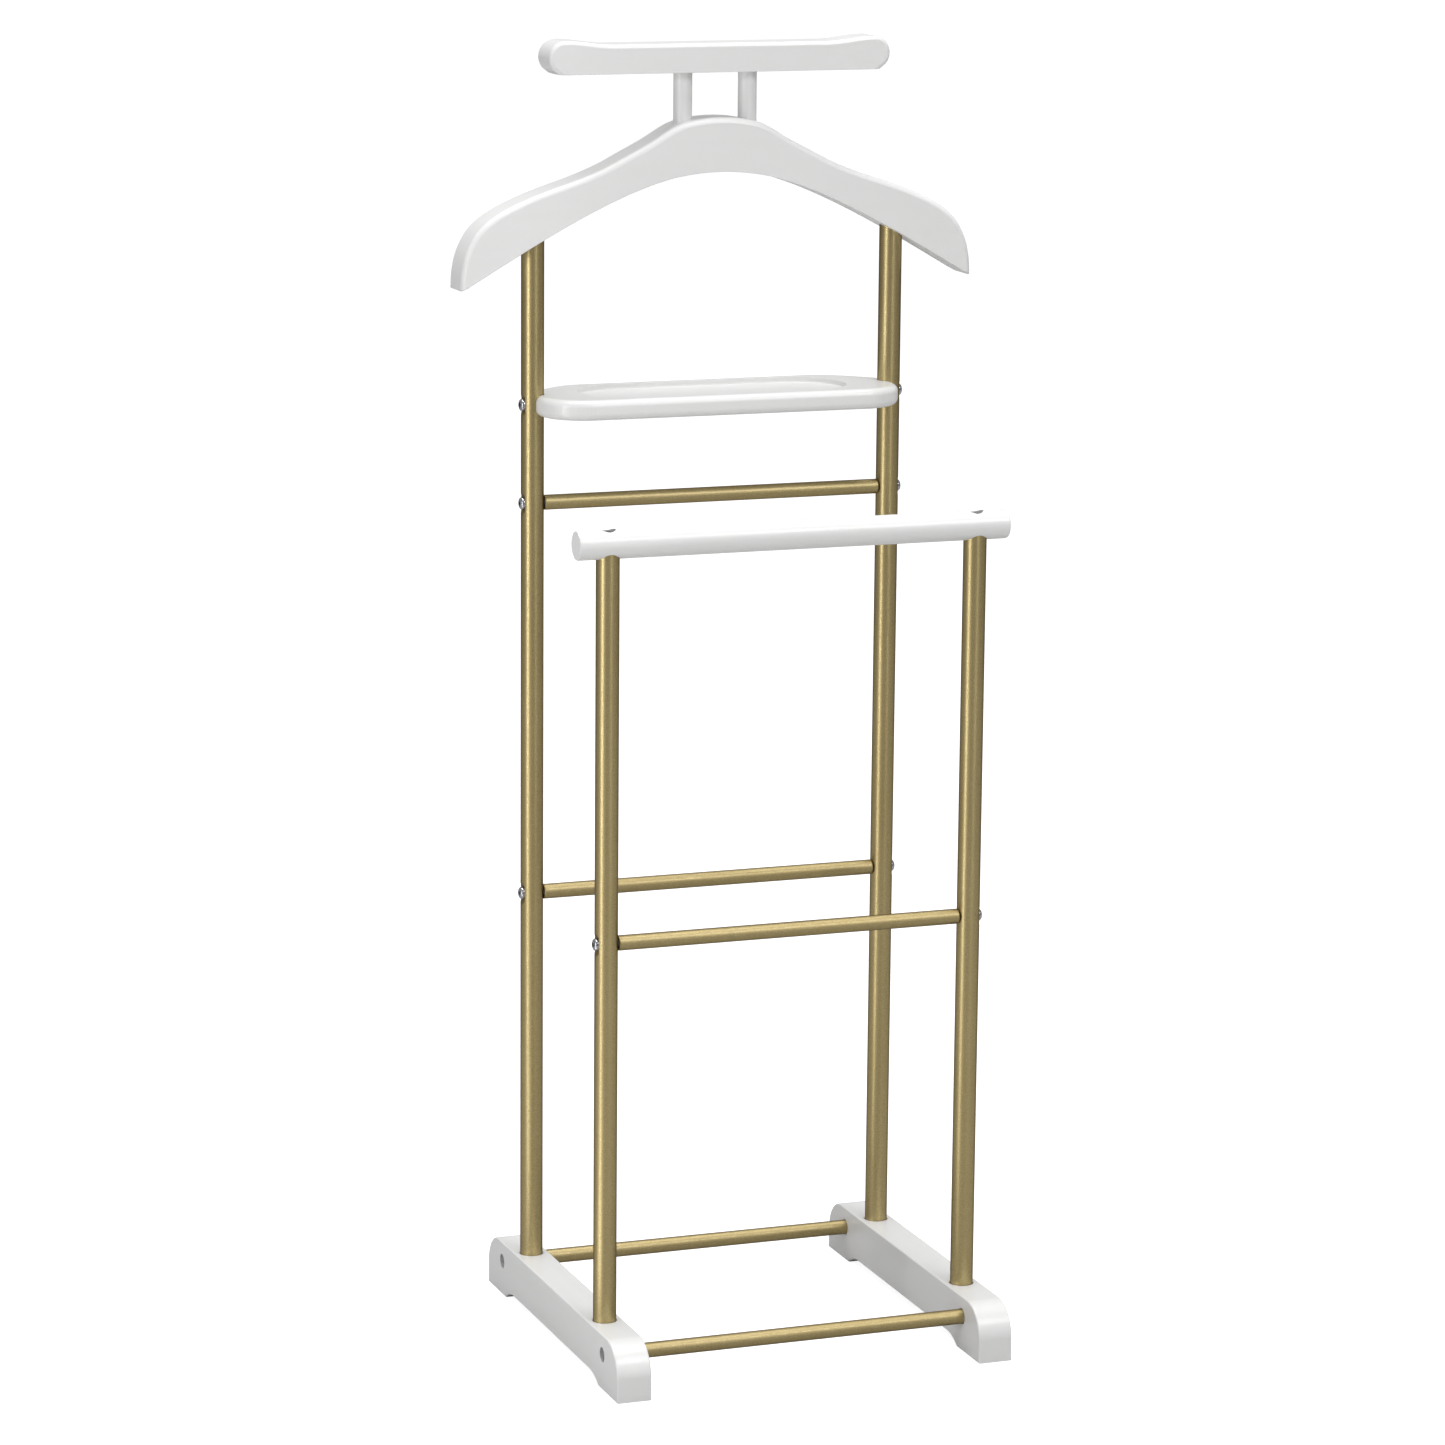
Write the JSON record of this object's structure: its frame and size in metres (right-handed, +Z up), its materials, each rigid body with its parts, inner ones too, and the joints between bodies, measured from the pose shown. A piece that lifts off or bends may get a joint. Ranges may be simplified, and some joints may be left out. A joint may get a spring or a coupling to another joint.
{
  "type": "valet stand",
  "caption": "Valet stand: a coat hanger, tray and trouser rod on a frame of tube posts and crossbars, standing on two wooden feet.",
  "frame": {"origin": "on the floor, in the middle of the footprint", "axes": "+Z up, +X to the right as seen from the trouser rod's side, +Y to the rear, where the hanger and tray are"},
  "size_m": [0.447, 0.342, 1.0688],
  "materials": {
    "lacquer": "white satin lacquer on solid wood",
    "brass": "steel tube with a brushed antique-brass plating, satin",
    "steel": "bright plated button-head screws",
    "zinc": "dull zinc-plated inserts and studs"
  },
  "bodies": {
    "root": {"base_crossbar_front": "brass", "base_crossbar_front_insert_left": "zinc", "base_crossbar_front_insert_right": "zinc", "base_crossbar_front_screw_left": "steel", "base_crossbar_front_screw_right": "steel", "base_crossbar_rear": "brass", "base_crossbar_rear_insert_left": "zinc", "base_crossbar_rear_insert_right": "zinc", "base_crossbar_rear_screw_left": "steel", "base_crossbar_rear_screw_right": "steel", "foot_left": "lacquer", "foot_right": "lacquer", "front_crossbar": "brass", "front_crossbar_insert_left": "zinc", "front_crossbar_insert_right": "zinc", "front_crossbar_screw_left": "steel", "front_crossbar_screw_right": "steel", "front_post_bolt_left": "steel", "front_post_bolt_right": "steel", "front_post_left": "brass", "front_post_lower_insert_left": "zinc", "front_post_lower_insert_right": "zinc", "front_post_right": "brass", "front_post_upper_insert_left": "zinc", "front_post_upper_insert_right": "zinc", "hanger": "lacquer", "hanger_stud_left": "zinc", "hanger_stud_right": "zinc", "rear_lower_crossbar": "brass", "rear_lower_crossbar_insert_left": "zinc", "rear_lower_crossbar_insert_right": "zinc", "rear_lower_crossbar_screw_left": "steel", "rear_lower_crossbar_screw_right": "steel", "rear_post_bolt_left": "steel", "rear_post_bolt_right": "steel", "rear_post_left": "brass", "rear_post_lower_insert_left": "zinc", "rear_post_lower_insert_right": "zinc", "rear_post_right": "brass", "rear_post_upper_insert_left": "zinc", "rear_post_upper_insert_right": "zinc", "rear_upper_crossbar": "brass", "rear_upper_crossbar_insert_left": "zinc", "rear_upper_crossbar_insert_right": "zinc", "rear_upper_crossbar_screw_left": "steel", "rear_upper_crossbar_screw_right": "steel", "top_bar": "lacquer", "top_bar_dowel_left": "lacquer", "top_bar_dowel_right": "lacquer", "tray": "lacquer", "tray_insert_left": "zinc", "tray_insert_right": "zinc", "tray_screw_left": "steel", "tray_screw_right": "steel", "trouser_rod": "lacquer", "trouser_rod_screw_left": "steel", "trouser_rod_screw_right": "steel"}
  },
  "joints": []
}
